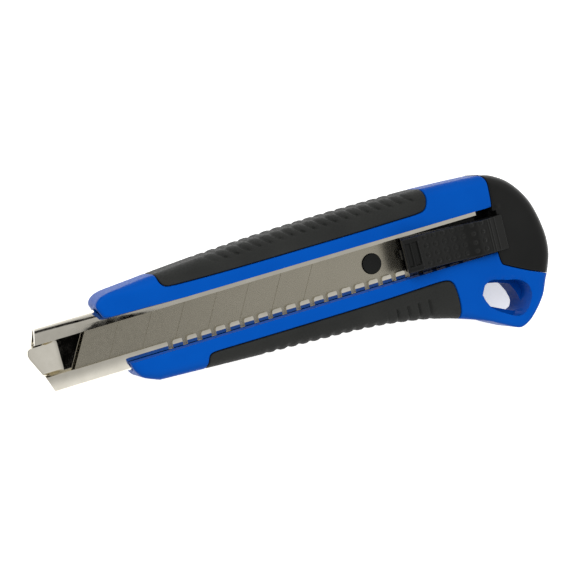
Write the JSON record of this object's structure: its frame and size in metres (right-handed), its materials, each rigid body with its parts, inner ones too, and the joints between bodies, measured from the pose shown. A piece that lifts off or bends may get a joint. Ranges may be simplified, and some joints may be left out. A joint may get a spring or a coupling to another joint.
{
  "type": "snap-off utility knife",
  "caption": "Snap-off utility knife: moulded two-rail body with rubber grips, steel blade channel, thumb slider with click rack, segmented blade, lanyard eye and pull-off end cap.",
  "frame": {"origin": "bottom centre of the knife's box, lying on the flat back of the body", "axes": "+X from the steel nose to the end cap, +Y towards the spine, +Z out of the slider side"},
  "size_m": [0.1668, 0.0502, 0.02],
  "materials": {
    "blue_plastic": "satin moulded plastic",
    "black_rubber": "fine matte moulded rubber",
    "black_plastic": "finely textured moulded plastic",
    "bright_steel": "bright plated sheet steel",
    "blade_steel": "satin ground carbon steel",
    "spring_steel": "plain spring steel"
  },
  "bodies": {
    "handle": {"body": "blue_plastic", "upper_grip": "black_rubber", "lower_grip": "black_rubber", "blade_channel": "bright_steel", "magazine_spring": "spring_steel", "spare_blade_1": "blade_steel", "spare_blade_2": "blade_steel"},
    "slider": {"slider_button": "black_plastic", "blade_carrier": "black_plastic", "blade": "blade_steel"},
    "click_spring": {"lock_spring": "spring_steel"},
    "cap": {"end_cap": "black_plastic"}
  },
  "joints": [
    {"name": "slider_travel", "type": "slide", "parent": "handle", "child": "slider", "axis": [-1, 0, 0], "range_m": [0, 0.08235]},
    {"name": "click_flex", "type": "slide", "parent": "slider", "child": "click_spring", "axis": [0, 1, 0], "range_m": [0, 0.002], "stiffness_N_per_m": 300},
    {"name": "cap_pull", "type": "slide", "parent": "handle", "child": "cap", "axis": [1, 0, 0], "range_m": [0, 0.03]}
  ]
}
